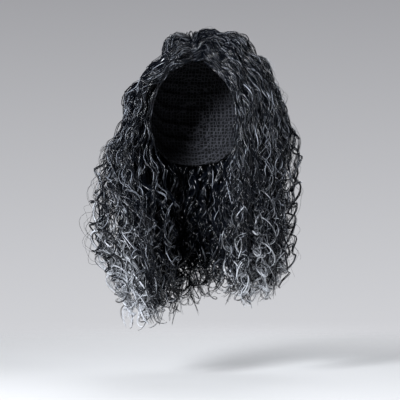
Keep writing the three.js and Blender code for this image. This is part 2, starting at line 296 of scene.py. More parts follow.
# Where a tress lies in its gap, and how far its locks spread in the gap and between layers
TRESS_PLACE = (0.25, 0.75)
LOCK_SPREAD = 0.22
LAYER_SPREAD = 0.06
# Waves swing in and out of step round the wig: how far and how fast, in radians, and how much that differs
# by chance between tresses and between their locks
STEP_SWING = 2.4
STEP_ROUND = 41
TRESS_STEP = 0.9
LOCK_STEP = 0.35
# Roots stay this far above the edge of the cap
ROOT_MARGIN = 6.0
# The lowest tips hang this far past the hem, which is read at the bearing that a lock has at the hem level.
# Others end higher by chance, and by how their layer is cut.
TIP_PAST_HEM = 54.0
HEM_LEVEL = 300.0
TIP_SPREAD = 26
CUT = table("layer drop", (0.0, 46), (0.4, 8), (0.6, 0), (0.75, 10), (1.0, 44))
CUT_SHARE = (0.5, 1)

# A strand's tone is where it reads the colours: 0 is plain black, low tones stay dark, and the higher a tone
# is, the further up silver starts. A few curls have high tones, kinds of lock toned darker as painted shade
# keep a share of theirs, and the strands of a curl differ a little.
DARK_TONES = (0.0, 0.2)
HIGH_TONES = (0.62, 0.8)
HIGH_SHARE = 0.015
SHADED = 0.3
STRAND_TONE = 0.07
TONE_RANGE = (0.02, 0.9)
# From this share of the way round, by the right front edge, all locks are toned darker as painted shade
SHADED_FROM = 0.97
# The UV map, the room that a strand's sides take up among the tones on it, and the margin at a strand's ends
UV_NAME = "OFBake"
TONE_WIDTH = 0.004
UV_MARGIN = 0.01
# A direction off all the axes, which the first ring of a strand is turned square to
CROSSWISE = (0.31, 0.57, 0.76)

# Sections of hair, from the left front edge round to the right one: the node that each replaces, its share
# of the way round, and the seeds of its shapes and its tones. Its upper waves are a share of the full
# height, and less fullness leaves fewer locks near the outside. Then come the share of curls that turn
# silver, their tones, the kinds of lock toned darker as painted shade, and how many locks of each kind there
# are.
BACK_LOCKS = dict(top=11, outer=12, middle=8, inner=7, core=40, fine=14)
BACK_SHADED = ("inner", "middle")
SECTIONS = [
    dict(
        name="fringe_hair", node="fringe_locks", span=(0.0, 0.155), seed=51, tone_seed=551,
        upper_waves=0.5, fullness=0.9, silver=0.60, frost=(0.34, 0.55), dark=("inner",),
        locks=dict(top=18, outer=20, middle=8, inner=4, edge=7, core=18, fine=32, wisp=14),
    ),
    dict(
        name="left_side_hair", node="left_side_locks", span=(0.155, 0.352), seed=62, tone_seed=562,
        upper_waves=1.0, fullness=0.25, silver=0.68, frost=(0.36, 0.59), dark=("inner", "loose"),
        locks=dict(top=16, outer=19, middle=10, inner=6, core=28, loose=6, fine=30, wisp=12),
    ),
    dict(
        name="back_left_hair", node="back_left_locks", span=(0.352, 0.506), seed=13, tone_seed=513,
        upper_waves=1.0, fullness=0.9, silver=0.28, frost=(0.34, 0.56), dark=BACK_SHADED, locks=BACK_LOCKS,
    ),
    dict(
        name="back_hair", node="back_locks", span=(0.506, 0.66), seed=14, tone_seed=514,
        upper_waves=1.0, fullness=0.9, silver=0.32, frost=(0.36, 0.60), dark=BACK_SHADED, locks=BACK_LOCKS,
    ),
    dict(
        name="back_right_hair", node="back_right_locks", span=(0.66, 0.815), seed=15, tone_seed=515,
        upper_waves=1.0, fullness=0.9, silver=0.36, frost=(0.38, 0.64), dark=BACK_SHADED, locks=BACK_LOCKS,
    ),
    dict(
        name="right_side_hair", node="right_side_locks", span=(0.815, 1.0), seed=76, tone_seed=606,
        upper_waves=1.0, fullness=0.9, silver=0.82, frost=(0.39, 0.63), dark=("edge", "inner", "loose"),
        locks=dict(top=17, outer=21, middle=8, inner=3, edge=8, core=30, loose=3, fine=18),
    ),
]

# The stage, in metres and degrees: where the camera points and stands, its sensor in millimetres, the round
# floor and where it starts to fade, the lights in watts, and the room, which is seen at full strength and
# lights the wig at a share of it
AIM = Vector((-0.003, 0.0, -0.221))
CAMERA_AZIMUTH = -10.0
CAMERA_ELEVATION = 0.0
SENSOR = 36.0
FLOOR_RADIUS = 1.3
FLOOR_CORNERS = 96
FADE_FROM = 0.25
LIGHT_COLOUR = "#f4f8ff"
LIGHTS = [
    dict(name="key", place=(-1.1, -1.4, 0.35), size=0.4, power=66),
    dict(name="fill", place=(1.5, -1.2, 0.15), size=0.6, power=22),
    dict(name="top", place=(0.1, 0.3, 1.3), size=0.9, power=7),
    dict(name="back", place=(0.5, 1.6, 0.4), size=0.9, power=16),
]
ROOM_LIGHT = 0.06
ROOM_LOW = "#e6e7eb"
ROOM_HIGH = "#8c8c90"
ROOM_FADE = 0.17


class WigHairSettings(bpy.types.PropertyGroup):
    """Sizes and colours of the hair."""

    strand_width: FloatProperty(
        name="Strand width", description="Thickness of a strand of hair", default=1.0 * MM, unit="LENGTH"
    )
    wave_height: FloatProperty(
        name="Wave height",
        description="Height of the waves, as a share of the usual one",
        default=1.0,
        subtype="FACTOR",
    )
    frizz: FloatProperty(
        name="Frizz", description="How far strands stray from their lock", default=1.6 * MM, unit="LENGTH"
    )
    black: FloatVectorProperty(
        name="Black", description="Darkest strands", default=linear("#05080f"), size=3, subtype="COLOR"
    )
    # Grey streaks are partly grey fibres and partly painted highlights along the black strands
    grey_and_highlight: FloatVectorProperty(
        name="Grey", description="Streaks in the black", default=linear("#a0a5ae"), size=3, subtype="COLOR"
    )
    silver: FloatVectorProperty(
        name="Silver", description="Ends of the strands", default=linear("#cccfd4"), size=3, subtype="COLOR"
    )


class WigCapSettings(bpy.types.PropertyGroup):
    """Sizes and colours of the cap."""

    wall: FloatProperty(
        name="Wall", description="Thickness of the net", default=CAP_WALL * MM, unit="LENGTH"
    )
    weft_height: FloatProperty(
        name="Weft height", description="How far the sewn rows stand in", default=0.9 * MM, unit="LENGTH"
    )
    net: FloatVectorProperty(
        name="Net", description="Threads of the net", default=linear("#303136"), size=3, subtype="COLOR"
    )
    gaps: FloatVectorProperty(
        name="Gaps", description="Gaps between threads", default=linear("#07080a"), size=3, subtype="COLOR"
    )


class WigStageSettings(bpy.types.PropertyGroup):
    """The camera and the floor."""

    floor_drop: FloatProperty(
        name="Floor", description="From the top of the cap down to the floor", default=0.472, unit="LENGTH"
    )
    camera_distance: FloatProperty(
        name="Camera distance", description="From the camera to the wig", default=2.6, unit="LENGTH"
    )
    view_width: FloatProperty(
        name="View width", description="Width of the view at the wig", default=0.56, unit="LENGTH"
    )
    floor: FloatVectorProperty(
        name="Paper", description="Colour of the floor", default=linear("#d9d8d6"), size=3, subtype="COLOR"
    )


def smooth(low, high, value):
    """From 0 at low to 1 at high, with no corner."""
    t = np.clip((value - low) / (high - low), 0, 1)
    return t * t * (3 - 2 * t)


def blend(low, high, share):
    """From the low value at share 0 to the high one at share 1."""
    return low + (high - low) * share


def unit(vectors):
    """Vectors of length 1."""
    return vectors / np.maximum(np.linalg.norm(vectors, axis=-1, keepdims=True), 1e-9)


def summed(steps):
    """Running sums that start at 0."""
    return np.concatenate([[0], np.cumsum(steps)])


def read(columns, key, at, name):
    """A column's value at a place along the key column."""
    return np.interp(at, columns[key], columns[name])


def heading(bearing):
    """The level direction of a bearing, as X and Y."""
    angle = np.radians(bearing)
    return np.sin(angle), -np.cos(angle)


def oval_reach(bearing, right, left, front, back):
    """How far an oval reaches at a bearing."""
    x, y = heading(bearing)
    return 1 / np.hypot(x / np.where(x < 0, right, left), y / np.where(y < 0, front, back))


def cap_edge(bearing):
    """How far down the cap reaches at a bearing."""
    return read(CAP_EDGE, "bearing", abs((bearing + 180) % 360 - 180), "drop")


def cap_height(x, y):
    """Height of the outside of the cap over a place on the plan."""
    inside = np.clip(1 - (x / CAP_OUTSIDE[0]) ** 2 - (y / CAP_OUTSIDE[1]) ** 2, 0, 1)
    return CAP_CENTRE[2] + CAP_OUTSIDE[2] * np.sqrt(inside)


def hem_drop(bearing):
    """How far down the hair ends at a bearing."""
    return HEM_RIGHT + (HEM_LEFT - HEM_RIGHT) * (1 + heading(bearing)[0]) / 2


def outer_reach(bearing, drop):
    """How far out the hair reaches at a bearing and drop."""
    stretch = (HEM_RIGHT - LEVEL_DROP) / (hem_drop(bearing) - LEVEL_DROP)
    level = np.where(drop > LEVEL_DROP, LEVEL_DROP + (drop - LEVEL_DROP) * stretch, drop)
    sides = ("right", "left", "front", "back")
    return oval_reach(bearing, *(read(OUTER, "drop", level, side) for side in sides))


def hollow_reach(bearing, drop):
    """How far out the hollow inside the hair reaches at a bearing and drop."""
    side, front, back = (read(HOLLOW, "drop", drop, name) for name in ("side", "front", "back"))
    return oval_reach(bearing, side, side, front, back)


def bearing_of(share, drop):
    """The bearing of a share of the way round from the left front edge to the right one."""
    left = read(FRONT_EDGES, "drop", drop, "left")
    return left + share * (read(FRONT_EDGES, "drop", drop, "right") - left)


def lie(bearing, drop, layer):
    """Points at a bearing and drop, from the cap or hollow (layer 0) to the hair's outside (layer 1)."""
    x, y = heading(bearing)
    outer = outer_reach(bearing, drop)
    arm = np.stack([x * outer, y * outer, -drop], -1) - CAP_CENTRE
    reach = np.linalg.norm(arm, axis=-1)
    toward = arm / reach[..., None]
    cap = 1 / np.linalg.norm(toward / CAP_OUTSIDE, axis=-1)
    over_cap = CAP_CENTRE + toward * (cap + layer * (reach - cap))[..., None]
    hollow = hollow_reach(bearing, drop)
    out = hollow + layer * (outer - hollow)
    hanging = np.stack([x * out, y * out, -drop], -1)
    return np.where((drop < CAP_RISE)[..., None], over_cap, hanging)


def out_of(points):
    """The direction away from the middle of the cap, or level from the line below it."""
    middle = np.zeros_like(points)
    middle[..., 2] = np.minimum(points[..., 2], CAP_CENTRE[2])
    return unit(points - middle)


def smoothed(points, passes=3, reach=4):
    """A path with its corners rounded and its ends kept."""
    kernel = np.ones(2 * reach + 1) / (2 * reach + 1)
    for _ in range(passes):
        padded = np.vstack([
            2 * points[0] - points[reach:0:-1],
            points,
            2 * points[-1] - points[-2 : -2 - reach : -1],
        ])
        points = np.stack([np.convolve(padded[:, axis], kernel, "valid") for axis in range(3)], -1)
    return points


def evenly(points):
    """The same path with points a step apart."""
    gone = summed(np.linalg.norm(np.diff(points, axis=0), axis=1))
    at = np.linspace(0, gone[-1], max(FEWEST_STEPS, int(gone[-1] / PATH_STEP) + 1))
    return np.stack([np.interp(at, gone, points[:, axis]) for axis in range(3)], -1)


def parting_root(share, rng):
    """Where a long lock is rooted, beside the parting or round the whorl."""
    along = read(ROOT_LINE, "share", share, "along")
    line = PARTING_FRONT + (WHORL - PARTING_FRONT) * along
    plan = line + np.array(heading(bearing_of(share, COMB_DROP))) * rng.uniform(*ROOT_AWAY)
    return np.array([plan[0], plan[1], cap_height(*plan)])


def lock_path(lock, share, layer, rooted, tip, rng):
    """The line down the middle of a lock, from its root on the cap to its tip."""
    drop = np.arange(rooted, tip, PATH_STEP)
    bearing = bearing_of(share, drop)
    if lock["rooted"] == AT_PARTING:
        root = parting_root(share, rng)
        path = lie(bearing, drop, np.full_like(drop, layer))
        x, y = heading(bearing_of(share, COMB_DROP))
        ahead = (path[:, 0] - root[0]) * x + (path[:, 1] - root[1]) * y
        path = np.vstack([root, path[np.argmax(ahead > JOINS_AFTER) :]])
    else:
        path = lie(bearing, drop, layer * smooth(0, RISES_OVER, drop - rooted))
    return evenly(smoothed(evenly(path)))


def strand_draws(lock):
    """Two ways to draw numbers for the strands of a lock: one for each curl, and one for each strand."""
    curls, strands = lock["curls"], lock["strands"]

    def each_curl(draw, *values):
        return np.repeat(draw(*values, (curls, 1)), strands, axis=0)

    def each_strand(draw, *values):
        return draw(*values, (curls * strands, 1))

    return each_curl, each_strand


def along_lock(path, lock, each_curl, each_strand, rng):
    """The points that a lock's strands go by, closest together where its curls are widest: the line of the
    lock, its direction, the turn of its waves, the part of the way down, and the swells."""
    gone = np.arange(len(path)) * np.linalg.norm(path[1] - path[0])
    part = gone / gone[-1] * lock["reach"]
    length, side, loop = (read(WAVES, "part", part, name) for name in ("length", "side", "loop"))
    length = length * rng.uniform(*LOCK_LENGTH)
    turn = summed(np.diff(gone) / length[1:]) * FULL_TURN
    swells = SWELL_HEIGHT * np.cos(FULL_TURN * (gone - SWELL_START) / SWELL_LENGTH)
    swells = swells * smooth(0, SWELL_RISE, gone) * (1 - smooth(*FADING, part))
    swells = swells * (lock["rooted"] == AT_PARTING)

    dense = (STRAIGHT_POINTS + np.arctan(FULL_TURN * side / length)) * (1 + LOOP_POINTS * loop) / length
    counted = summed(dense[1:])
    ends = each_curl(rng.uniform, *CURL_END) * each_strand(rng.uniform, *STRAND_END)
    place = np.linspace(0, 1, lock["points"])[None] * ends * counted[-1]

    def at(values):
        return np.interp(place, counted, values)

    ahead = unit(np.gradient(path, axis=0))
    middle, ahead = (np.stack([at(rows[:, axis]) for axis in range(3)], -1) for rows in (path, ahead))
    return middle, unit(ahead), at(turn), at(part), at(swells)


def frizz_wave(turn, draw, rng):
    """A slow and a quick wave together, each begun at random."""
    slow, quick = draw(rng.uniform, *SLOW_FRIZZ), draw(rng.uniform, *QUICK_FRIZZ)
    slow_start, quick_start = draw(rng.uniform, 0, FULL_TURN), draw(rng.uniform, 0, FULL_TURN)
    return np.sin(turn * slow + slow_start) + QUICK_SHARE * np.sin(turn * quick + quick_start)


def wave_strands(path, lock, phase, upper_waves, rng, settings):
    """The strands of one lock, in curls that each have their own share of the lock's waves."""
    each_curl, each_strand = strand_draws(lock)
    middle, ahead, turn, part, swells = along_lock(path, lock, each_curl, each_strand, rng)
    side = unit(np.cross(ahead, out_of(middle)))
    out = np.cross(side, ahead)
    waves = {name: read(WAVES, "part", part, name) for name in ("side", "out", "loop", "apart", "close")}
    bundled = lock["curls"] * lock["strands"] > 1

    height = settings.wave_height * rng.uniform(*LOCK_HEIGHT)
    height = height * each_curl(rng.uniform, *CURL_HEIGHT) * each_strand(rng.uniform, *STRAND_HEIGHT)
    height = height * blend(upper_waves, 1, smooth(*FILLING, part))
    hand = rng.choice((-1, 1))
    # The curls of a lock keep together higher up, and split into ringlets lower down
    split = smooth(*SPLITTING, part)
    own = turn * each_curl(rng.uniform, *CURL_TURN) + phase
    own = own + each_curl(rng.normal, 0, 1) * blend(*CURL_STEP, split)
    own = own + each_strand(rng.normal, 0, STRAND_STEP)
    # Each lock's waves lie in a plane of their own
    lean = rng.uniform(0, FULL_TURN) + each_curl(rng.normal, 0, 1) * blend(*CURL_LEAN, split)
    wide = waves["side"] * height * np.sin(own)
    deep = waves["out"] * height * np.sin(own + WAVE_LAG * hand)
    across = wide * np.cos(lean) - deep * np.sin(lean)
    away = wide * np.sin(lean) + deep * np.cos(lean) + swells
    back = waves["loop"] * height * np.cos(own)

    # Curls are bundled in the lock, and strands in their curl
    for name, draw in (("apart", each_curl), ("close", each_strand)):
        angle = draw(rng.uniform, 0, FULL_TURN) + turn * BUNDLE_TWIST
        apart = waves[name] * np.sqrt(draw(rng.uniform, *BUNDLE_FILL)) * bundled
        across = across + apart * np.cos(angle)
        away = away + apart * np.sin(angle)

    stray = settings.frizz / MM * read(FRIZZ, "part", part, "share") * (1 if bundled else LONE_FRIZZ)
    for draw, share in ((each_curl, 1), (each_strand, STRAND_FRIZZ)):
        across = across + share * stray * frizz_wave(turn, draw, rng)
        away = away + share * stray * frizz_wave(turn, draw, rng)
    flick = smooth(*FLICKING, part)
    across = across + flick * rng.normal(0, FLICK_SIDE)
    away = away + flick * rng.normal(0, FLICK_OUT)
    moved = side * across[..., None] + out * away[..., None] + ahead * back[..., None]
    strand = middle + smooth(*LEAVING, part)[..., None] * moved

    width = settings.strand_width / MM * lock["width"] * np.exp(each_strand(rng.normal, 0, WIDTH_SPREAD))
    radius = width / 2 * read(TAPER, "along", np.linspace(0, 1, lock["points"]), "share")[None]
    return keep_off_cap(strand, radius), radius, part


def keep_off_cap(strands, radius, clear=1.0, deepest=0.3):
    """Strands pushed out to just clear of the cap. Its middle has no way out, so depths stop at a share."""
    room = CAP_OUTSIDE + clear + radius[..., None]
    depth = np.linalg.norm((strands - CAP_CENTRE) / room, axis=-1, keepdims=True)
    return CAP_CENTRE + (strands - CAP_CENTRE) / np.clip(depth, deepest, 1)


def strand_tones(section, lock, dark, rng):
    """The tone of each strand of a lock, close to its curl's own."""
    curls, strands = lock["curls"], lock["strands"]
    tone = rng.uniform(*DARK_TONES, curls)
    turns = rng.uniform(0, 1, curls) < section["silver"]
    tone = np.where(turns, rng.uniform(*section["frost"], curls), tone)
    high = rng.uniform(0, 1, curls) < HIGH_SHARE
    tone = np.where(high, rng.uniform(*HIGH_TONES, curls), tone)
    # Locks of the kinds toned darker as painted shade keep only a share of their tone
    if dark:
        tone = tone * SHADED
    own = rng.normal(0, STRAND_TONE, curls * strands)
    return np.clip(np.repeat(tone, strands) + own, *TONE_RANGE)


def tubes(points, radius, down, tone, sides):
    """Closed tapered tubes along rows of points: vertices, corners, face sizes and UVs."""
    many, steps, _ = points.shape
    ahead = unit(np.gradient(points, axis=1))
    # Each ring follows on from the one before it, so that the tubes don't twist
    across = np.empty_like(points)
    across[:, 0] = unit(np.cross(ahead[:, 0], CROSSWISE))
    for step in range(1, steps):
        last = across[:, step - 1]
        lean = np.sum(last * ahead[:, step], axis=1, keepdims=True)
        across[:, step] = unit(last - ahead[:, step] * lean)
    third = np.cross(ahead, across)
    angle = FULL_TURN * np.arange(sides) / sides
    ring = across[:, :, None] * np.cos(angle)[:, None] + third[:, :, None] * np.sin(angle)[:, None]
    vertices = points[:, :, None] + ring * radius[:, :, None, None]

    index = np.arange(many * steps * sides).reshape(many, steps, sides)
    turned = np.roll(index, -1, axis=2)
    quads = np.stack([index[:, :-1], turned[:, :-1], turned[:, 1:], index[:, 1:]], -1)
    caps = np.stack([index[:, 0, ::-1], index[:, -1]], 1)

    # Tones go along U, and the part of the way down goes along V
    down = UV_MARGIN + (1 - 2 * UV_MARGIN) * down
    low, high = np.arange(sides) / sides, (np.arange(sides) + 1) / sides
    quad_uv = np.empty(quads.shape + (2,))
    quad_uv[..., 0] = tone[:, None, None, None] + TONE_WIDTH * np.stack([low, high, high, low], -1)
    quad_uv[..., :2, 1] = down[:, :-1, None, None]
    quad_uv[..., 2:, 1] = down[:, 1:, None, None]
    # The end faces lie inside their strand's strip
    cap_uv = np.empty(caps.shape + (2,))
    cap_uv[..., 0] = tone[:, None, None] + TONE_WIDTH * (0.5 + 0.4 * np.cos(angle))
    cap_uv[..., 1] = down[:, [0, -1], None] + TONE_WIDTH * np.sin(angle)
    return dict(
        vertices=vertices.reshape(-1, 3),
        corners=np.concatenate([quads.ravel(), caps.ravel()]),
        sizes=np.concatenate([np.full(quads.size // 4, 4), np.full(caps.size // sides, sides)]),
        uv=np.concatenate([quad_uv.reshape(-1, 2), cap_uv.reshape(-1, 2)]),
    )


def mesh_of(name, groups):
    """One mesh object from several groups of tubes."""
    starts = summed([len(group["vertices"]) for group in groups])
    vertices = np.concatenate([group["vertices"] for group in groups]) * MM
    corners = np.concatenate([group["corners"] + start for group, start in zip(groups, starts)])
    sizes = np.concatenate([group["sizes"] for group in groups])
    uv = np.concatenate([group["uv"] for group in groups])
    mesh = bpy.data.meshes.new(name)
    mesh.vertices.add(len(vertices))
    mesh.loops.add(len(corners))
    mesh.polygons.add(len(sizes))
    mesh.vertices.foreach_set("co", vertices.astype(np.float32).ravel())
    mesh.loops.foreach_set("vertex_index", corners.astype(np.int32))
    mesh.polygons.foreach_set("loop_start", summed(sizes)[:-1].astype(np.int32))
    mesh.polygons.foreach_set("use_smooth", np.ones(len(sizes), bool))
    mesh.update(calc_edges=True)
    layer = mesh.uv_layers.new(name=UV_NAME)
    layer.data.foreach_set("uv", uv.astype(np.float32).ravel())
    if mesh.validate():
        raise RuntimeError(f"{name} has faces that Blender had to mend")
    made = bpy.data.objects.new(name, mesh)
    bpy.context.scene.collection.objects.link(made)
    return made


def lock_places(kind, section, rng):
    """Where each lock of a kind lies: its share of the way round, layer, root, tip and phase of waves."""
    low, high = section["span"]
    lock = LOCKS[kind]
    if kind == "core":
        low, high = max(low, EDGE_SHARE), min(high, 1 - EDGE_SHARE)
    if kind == "edge":
        low, high = (0, EDGE_SHARE) if low == 0 else (1 - EDGE_SHARE, 1)
    count = section["locks"].get(kind, 0)
    gap = (high - low) / max(1, round(count / lock["tress"]))
    inmost, outmost = lock["layer"]
    for number in range(count):
        if number % lock["tress"] == 0:
            tress_share = low + gap * (number // lock["tress"] + rng.uniform(*TRESS_PLACE))
            tress_layer = outmost - (outmost - inmost) * rng.uniform(0, 1) ** section["fullness"]
            tress_phase = STEP_SWING * math.sin(tress_share * STEP_ROUND) + rng.normal(0, TRESS_STEP)
        share = np.clip(tress_share + gap * rng.uniform(-LOCK_SPREAD, LOCK_SPREAD), low, high)
        layer = np.clip(tress_layer + rng.uniform(-LAYER_SPREAD, LAYER_SPREAD), inmost, outmost)
        rooted = rng.uniform(*lock["rooted"])
        rooted = min(rooted, cap_edge(bearing_of(share, rooted)) - ROOT_MARGIN)
        short = rng.uniform(0, TIP_SPREAD) + read(CUT, "layer", layer, "drop") * rng.uniform(*CUT_SHARE)
        if kind == "core":
            short += CORE_SHORT
        tip = hem_drop(bearing_of(share, HEM_LEVEL)) + TIP_PAST_HEM - short
        if "tips" in lock:
            tip = rng.uniform(*lock["tips"])
        yield share, layer, rooted, tip, tress_phase + rng.normal(0, LOCK_STEP)


def section_hair(section, settings):
    """All the strands of one section, as one mesh."""
    rng = np.random.default_rng(section["seed"])
    tone_rng = np.random.default_rng(section["tone_seed"])
    groups = []
    for kind, lock in LOCKS.items():
        strands, widths, parts, tones = [], [], [], []
        for share, layer, rooted, tip, phase in lock_places(kind, section, rng):
            path = lock_path(lock, share, layer, rooted, tip, rng)
            strand, radius, part = wave_strands(path, lock, phase, section["upper_waves"], rng, settings)
            strands.append(strand)
            widths.append(radius)
            parts.append(part)
            # Listed kinds of lock, and all locks by the right front edge, are toned darker as painted shade
            dark = kind in section["dark"] or share > SHADED_FROM
            # Core locks get tone 0, plain black, as painted shade inside the hair
            tones.append(strand_tones(section, lock, dark, tone_rng) * (kind != "core"))
        if strands:
            joined = (np.concatenate(rows) for rows in (strands, widths, parts, tones))
            groups.append(tubes(*joined, lock["sides"]))
    return mesh_of(section["name"], groups)


def add_node(tree, kind, inputs=None, **settings):
    """A node with its settings, and its inputs set or linked."""
    made = tree.nodes.new(kind)
    for name, value in settings.items():
        setattr(made, name, value)
    for socket, value in (inputs or {}).items():
        if isinstance(value, bpy.types.NodeSocket):
            tree.links.new(value, made.inputs[socket])
        else:
            made.inputs[socket].default_value = value
    return made


def new_material(name):
    """An empty node material, with its tree and output."""
    material = bpy.data.materials.new(name)
    material.use_nodes = True
    tree = material.node_tree
    tree.nodes.clear()
    return material, tree, tree.nodes.new("ShaderNodeOutputMaterial")


def hair_material(settings):
    """Modacrylic fibre, crimped: near black at the roots with a soft shine, each strand its own shade,
    silver at many ends, with grey streaks and patches in the silver that are partly painted highlights."""
    material, tree, output = new_material("modacrylic_hair_fibre")
    place = add_node(tree, "ShaderNodeUVMap", uv_map=UV_NAME).outputs["UV"]
    split = add_node(tree, "ShaderNodeSeparateXYZ", {"Vector": place})
    tone, down = split.outputs["X"], split.outputs["Y"]

    # Streaks run along the strands, in millimetres, and each small step of tone has a shade of its own
    hair_length = 420.0
    streak_length = 35.0
    shades = 160.0
    streaks = add_node(
        tree, "ShaderNodeVectorMath", {0: place, 1: (shades, hair_length / streak_length, 1.0)},
        operation="MULTIPLY",
    )
    shade = add_node(
        tree, "ShaderNodeTexNoise", {"Vector": streaks.outputs[0], "Scale": 1.0, "Detail": 1.0},
        noise_dimensions="2D",
    )

    # Grey streaks, partly grey fibres and partly painted highlights along the strands, are faint near the
    # roots, and plain black strands have none
    grey_and_highlight_streaks = add_node(
        tree, "ShaderNodeMapRange", {"Value": shade.outputs["Fac"], "From Min": 0.57, "From Max": 0.76},
        interpolation_type="SMOOTHSTEP",
    )
    grown = add_node(
        tree, "ShaderNodeMapRange", {"Value": down, "From Max": 0.3, "To Min": 0.32},
        interpolation_type="SMOOTHSTEP",
    )
    toned = add_node(tree, "ShaderNodeMapRange", {"Value": tone, "From Min": 0.0, "From Max": 0.12})
    shown = add_node(
        tree, "ShaderNodeMath", {0: grown.outputs["Result"], 1: toned.outputs["Result"]},
        operation="MULTIPLY",
    )
    grey_and_highlight_share = add_node(
        tree, "ShaderNodeMath", {0: grey_and_highlight_streaks.outputs["Result"], 1: shown.outputs[0]}, operation="MULTIPLY"
    )
    dark = add_node(
        tree, "ShaderNodeMix",
        {"Factor": grey_and_highlight_share.outputs[0], "A": (*settings.black, 1), "B": (*settings.grey_and_highlight, 1)},
        data_type="RGBA",
    )

    # Silver comes lower down and sooner on higher tones; it breaks into patches along the streaks, which are
    # painted highlight glints on the silver ends
    reach = add_node(tree, "ShaderNodeMath", {0: tone, 1: 1.1, 2: down}, operation="MULTIPLY_ADD")
    silver_with_glint_patches = add_node(
        tree, "ShaderNodeMath", {0: shade.outputs["Fac"], 1: reach.outputs[0]}, operation="ADD"
    )
    frost = add_node(
        tree, "ShaderNodeMapRange", {"Value": silver_with_glint_patches.outputs[0], "From Min": 1.78, "From Max": 2.04},
        interpolation_type="SMOOTHSTEP",
    )
    colour = add_node(
        tree, "ShaderNodeMix",
        {"Factor": frost.outputs["Result"], "A": dark.outputs[2], "B": (*settings.silver, 1)},
        data_type="RGBA",
    )
    # Silver ends shine less than the black
    dull = add_node(
        tree, "ShaderNodeMapRange", {"Value": frost.outputs["Result"], "To Min": 0.23, "To Max": 0.36}
    )
    shader = add_node(
        tree, "ShaderNodeBsdfPrincipled",
        {
            "Base Color": colour.outputs[2],
            "Roughness": dull.outputs["Result"],
            "IOR": 1.5,
            "Specular IOR Level": 0.42,
        },
    )
    tree.links.new(shader.outputs[0], output.inputs["Surface"])
    return material


def net_material(settings):
    """Stretch nylon net, knitted: dull black threads round small darker gaps."""
    material, tree, output = new_material("knitted_nylon_net")
    place = add_node(tree, "ShaderNodeTexCoord").outputs["Object"]
    # Real cells are about 1 mm wide, too fine to show, so they are drawn coarser
    cell = 4.8 * MM
    thread_depth = 0.5 * MM
    net = add_node(
        tree, "ShaderNodeTexVoronoi", {"Vector": place, "Scale": 1 / cell, "Randomness": 0.35},
        feature="DISTANCE_TO_EDGE",
    )
    gap = add_node(
        tree, "ShaderNodeMapRange", {"Value": net.outputs["Distance"], "From Min": 0.05, "From Max": 0.15},
        interpolation_type="SMOOTHSTEP",
    )
    colour = add_node(
        tree, "ShaderNodeMix",
        {"Factor": gap.outputs["Result"], "A": (*settings.net, 1), "B": (*settings.gaps, 1)},
        data_type="RGBA",
    )
    dull = add_node(
        tree, "ShaderNodeMapRange", {"Value": gap.outputs["Result"], "To Min": 0.74, "To Max": 0.95}
    )
    thread = add_node(tree, "ShaderNodeMath", {0: 1.0, 1: gap.outputs["Result"]}, operation="SUBTRACT")
    bump = add_node(
        tree, "ShaderNodeBump", {"Height": thread.outputs[0], "Strength": 0.6, "Distance": thread_depth}
    )
    shader = add_node(
        tree, "ShaderNodeBsdfPrincipled",
        {
            "Base Color": colour.outputs[2],
            "Roughness": dull.outputs["Result"],
            "IOR": 1.53,
            "Specular IOR Level": 0.2,
            "Normal": bump.outputs[0],
        },
    )
    tree.links.new(shader.outputs[0], output.inputs["Surface"])
    return material


def paper_material(settings):
    """Matt background paper: even and pale, fading into the room further away."""
    material, tree, output = new_material("matt_background_paper")
    shader = add_node(
        tree, "ShaderNodeBsdfPrincipled", {"Base Color": (*settings.floor, 1), "Roughness": 0.9, "IOR": 1.45}
    )
    place = add_node(tree, "ShaderNodeTexCoord").outputs["Object"]
    away = add_node(tree, "ShaderNodeVectorMath", {0: place}, operation="LENGTH")
    fade = add_node(
        tree, "ShaderNodeMapRange",
        {"Value": away.outputs["Value"], "From Min": FADE_FROM, "From Max": FLOOR_RADIUS},
        interpolation_type="SMOOTHSTEP",
    )
    clear = add_node(tree, "ShaderNodeBsdfTransparent")
    mixed = add_node(
        tree, "ShaderNodeMixShader", {0: fade.outputs["Result"], 1: shader.outputs[0], 2: clear.outputs[0]}
    )
    tree.links.new(mixed.outputs[0], output.inputs["Surface"])
    return material


def edge_angle(bearing):
    """The angle from the top of the cap to its edge at a bearing."""
    return math.acos(1 - cap_edge(bearing) / CAP_RISE)


def angle_from_top(height):
    """The angle from the top of a ball of radius 1 to a height on it."""
    return math.acos(max(-1, min(1, height)))


def cap_point(bearing, down):
    """A point on the inside of the cap, from its top (down 0) to its edge (down 1)."""
    angle = edge_angle(bearing) * down
    x, y = heading(bearing)
    on_ball = np.array([math.sin(angle) * x, math.sin(angle) * y, math.cos(angle)])
    return Vector(CAP_INSIDE * on_ball + CAP_CENTRE) * MM


